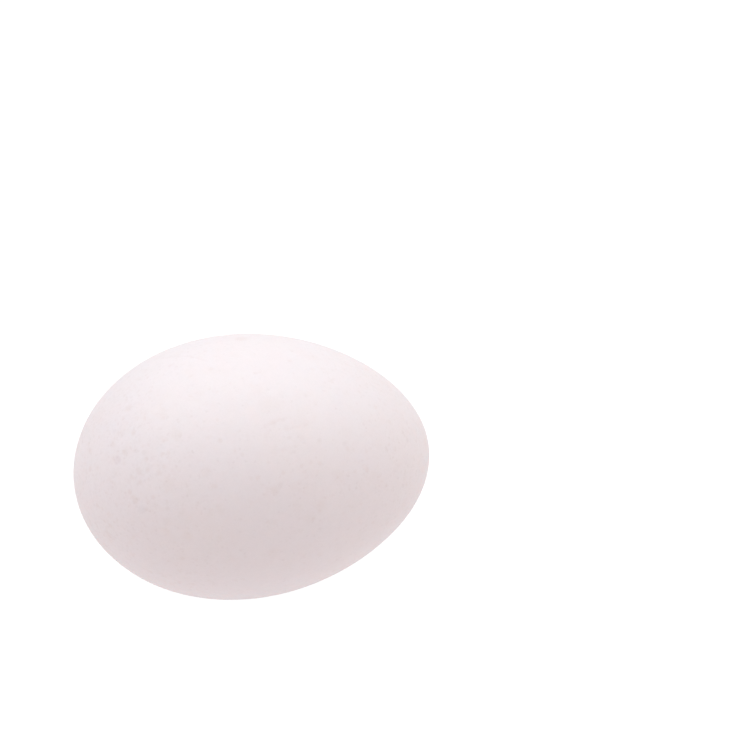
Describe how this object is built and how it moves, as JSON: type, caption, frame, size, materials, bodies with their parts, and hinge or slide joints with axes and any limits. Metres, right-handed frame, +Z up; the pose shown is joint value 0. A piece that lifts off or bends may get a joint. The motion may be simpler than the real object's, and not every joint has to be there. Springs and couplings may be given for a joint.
{
  "type": "chicken egg",
  "caption": "Whole chicken egg in its shell, pinkish white with faint speckles, lying on its side on a small flat rest spot.",
  "frame": {"origin": "middle of the flat spot that the egg rests on, straight under its centre of mass", "axes": "+Z up from the table, +X towards the pointed end along the long axis, which dips 4.5 degrees towards the pointed end as the egg lies, +Y across"},
  "size_m": [0.0579, 0.0426, 0.0424],
  "materials": {
    "eggshell": "matte calcium shell with a faint satin sheen, pinkish white, faintly speckled"
  },
  "bodies": {
    "root": {"egg": "eggshell"}
  },
  "joints": []
}
